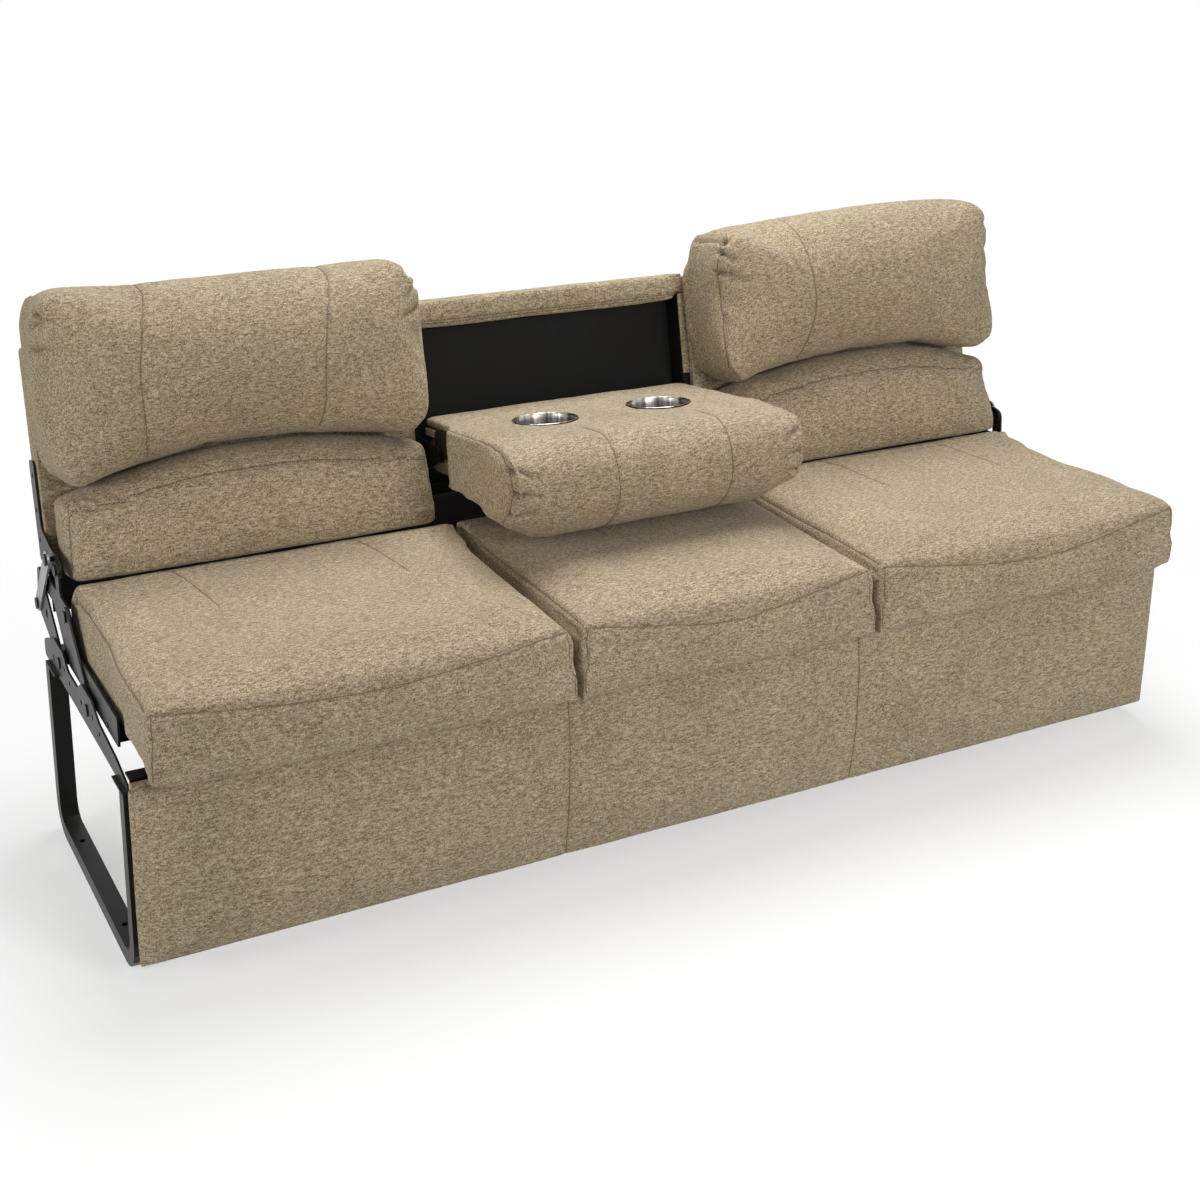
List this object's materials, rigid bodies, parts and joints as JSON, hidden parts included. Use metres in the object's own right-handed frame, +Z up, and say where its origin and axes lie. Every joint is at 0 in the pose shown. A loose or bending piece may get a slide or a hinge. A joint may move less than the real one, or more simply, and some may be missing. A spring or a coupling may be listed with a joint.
{
  "type": "jackknife sofa",
  "caption": "Upholstered bench sofa on looped steel legs: the seat swings forward as the back folds flat to make a bed, and the centre of the back drops down as a console with cup holders.",
  "frame": {"origin": "on the floor under the middle of the sofa's outline with the seat back and the console down", "axes": "X runs along the bench to the right end, Y to the rear and Z up"},
  "size_m": [1.7592, 0.6742, 0.8288],
  "materials": {
    "black_steel": "black satin powder coat",
    "zinc_steel": "dull zinc plate",
    "plywood": "unfinished plywood",
    "pine": "planed softwood",
    "black_panel": "matte black",
    "tweed": "heathered tan tweed weave",
    "stainless": "brushed stainless"
  },
  "bodies": {
    "base": {"left_leg_loop": "black_steel", "right_leg_loop": "black_steel", "left_side_rail": "black_steel", "right_side_rail": "black_steel", "front_cross_rail": "black_steel", "rear_cross_rail": "black_steel", "valance_board": "plywood", "valance_pad": "tweed"},
    "front_arms": {"left_front_arm": "black_steel", "right_front_arm": "black_steel"},
    "rear_arms": {"left_rear_arm": "black_steel", "right_rear_arm": "black_steel"},
    "back_links": {"left_back_link": "zinc_steel", "right_back_link": "zinc_steel"},
    "seat": {"left_seat_bracket": "black_steel", "right_seat_bracket": "black_steel", "seat_front_rail": "black_steel", "seat_rear_rail": "black_steel", "left_seat_end_rail": "black_steel", "right_seat_end_rail": "black_steel", "left_seat_stretcher": "black_steel", "right_seat_stretcher": "black_steel", "seat_deck": "plywood", "left_seat_cushion": "tweed", "center_seat_cushion": "tweed", "right_seat_cushion": "tweed", "seat_front_band": "tweed"},
    "back": {"left_back_bracket": "black_steel", "right_back_bracket": "black_steel", "left_outer_stile": "pine", "right_outer_stile": "pine", "left_inner_stile": "black_panel", "right_inner_stile": "black_panel", "back_top_rail": "pine", "left_bottom_rail": "pine", "right_bottom_rail": "pine", "left_back_board": "plywood", "right_back_board": "plywood", "well_panel": "black_panel", "rear_panel": "black_panel", "top_rail_pad": "tweed", "left_lumbar_pad": "tweed", "right_lumbar_pad": "tweed", "left_head_pillow": "tweed", "right_head_pillow": "tweed", "left_console_bracket": "black_steel", "right_console_bracket": "black_steel"},
    "console": {"console_board": "plywood", "console_top_pad": "tweed", "console_pillow": "tweed", "console_lumbar_pad": "tweed", "left_cup_holder": "stainless", "right_cup_holder": "stainless", "left_console_arm": "black_steel", "right_console_arm": "black_steel"}
  },
  "joints": [
    {"name": "front_arm_swing", "type": "hinge", "parent": "base", "child": "front_arms", "pos_m": [0, -0.03996, 0.297], "axis": [1, 0, 0], "range_deg": [0, 104]},
    {"name": "rear_arm_swing", "type": "hinge", "parent": "base", "child": "rear_arms", "pos_m": [0, 0.13004, 0.297], "axis": [1, 0, 0], "range_deg": [0, 104.2]},
    {"name": "seat_carry", "type": "hinge", "parent": "front_arms", "child": "seat", "pos_m": [0, 0.07824, 0.38935], "axis": [1, 0, 0], "range_deg": [-104.2, 0]},
    {"name": "back_fold", "type": "hinge", "parent": "seat", "child": "back", "pos_m": [0, 0.14044, 0.4371], "axis": [-1, 0, 0], "range_deg": [0, 78.2]},
    {"name": "back_link_turn", "type": "hinge", "parent": "rear_arms", "child": "back_links", "pos_m": [0, 0.26004, 0.342], "axis": [1, 0, 0], "range_deg": [-55.9, 0]},
    {"name": "console_fold", "type": "hinge", "parent": "back", "child": "console", "pos_m": [0, 0.18592, 0.50922], "axis": [-1, 0, 0], "range_deg": [0, 94]}
  ],
  "couplings": [
    {"joint": "rear_arm_swing", "follows": "front_arm_swing", "ratio": 1},
    {"joint": "seat_carry", "follows": "front_arm_swing", "ratio": -1},
    {"joint": "back_fold", "follows": "front_arm_swing", "ratio": 0.75},
    {"joint": "back_link_turn", "follows": "front_arm_swing", "ratio": -0.53553}
  ]
}
